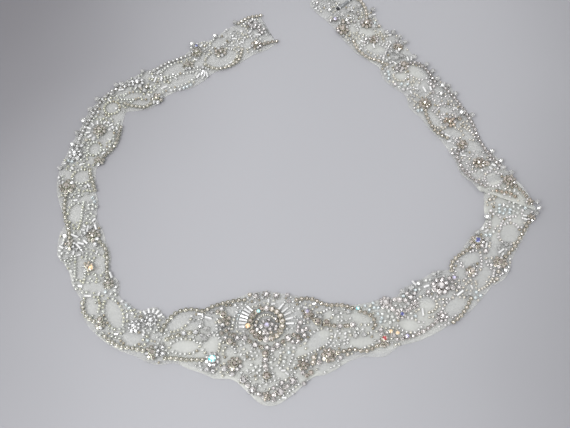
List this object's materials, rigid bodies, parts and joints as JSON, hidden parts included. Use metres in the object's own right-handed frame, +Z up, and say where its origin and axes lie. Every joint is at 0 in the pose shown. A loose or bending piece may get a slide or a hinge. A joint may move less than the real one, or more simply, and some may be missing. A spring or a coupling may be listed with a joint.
{
  "type": "bridal sash",
  "caption": "Beaded rhinestone applique sash on white net, laid flat in an open loop with a scrolled centre motif and one folded corner.",
  "frame": {"origin": "middle of the laid sash's outline, on the surface that it lies on", "axes": "+Z up off the surface, beaded face up; +X to the folded side; +Y to the two ends; the centre motif lies towards -Y"},
  "size_m": [0.3571, 0.3645, 0.0071],
  "materials": {
    "net": "sheer white net",
    "stones": "clear stones in silver cups",
    "crystals": "cut clear crystal and glass beads",
    "bugles": "bright silver lined glass tubes",
    "bar": "dark grey metal"
  },
  "bodies": {
    "root": {"net_left_arm": "net", "net_centre": "net", "net_right_arm": "net", "net_upper_arm": "net", "fold_layers": "net", "tail_tip_lower": "stones", "tail_tip_upper": "stones", "tail_arc": "stones", "left_top": "stones", "left_under": "stones", "left_shoulder": "stones", "left_bay": "stones", "left_side": "stones", "left_rim": "stones", "left_waist": "stones", "left_heel": "stones", "left_foot": "stones", "left_cluster": "stones", "centre_left": "stones", "sole_left": "stones", "left_branch": "stones", "medallion_crown": "stones", "medallion_garland": "stones", "medallion_drop": "stones", "medallion_skirt": "stones", "centre_right": "stones", "right_branch": "stones", "right_bow": "stones", "sole_right": "stones", "right_foot": "stones", "right_heel": "stones", "right_bloom": "stones", "right_bay": "stones", "right_side": "stones", "fold_corner": "stones", "fold_edge": "stones", "upper_bay": "stones", "upper_rim": "stones", "upper_bow": "stones", "upper_top": "stones", "end_bow": "stones", "end_rim": "stones", "medallion_ring": "stones", "tail_flower": "crystals", "left_top_flower": "crystals", "left_shoulder_flower": "crystals", "left_waist_flower": "crystals", "skirt_flower_left": "crystals", "skirt_flower_right": "crystals", "right_burst_flower": "crystals", "right_heel_flower": "crystals", "upper_bay_flower": "crystals", "upper_bow_flower": "crystals", "upper_top_flower": "crystals", "end_bow_flower": "crystals", "end_flower": "crystals", "medallion_heart": "crystals", "bugle_fan_left": "bugles", "bugle_fan_right": "bugles", "closure_bar": "bar"}
  },
  "joints": []
}
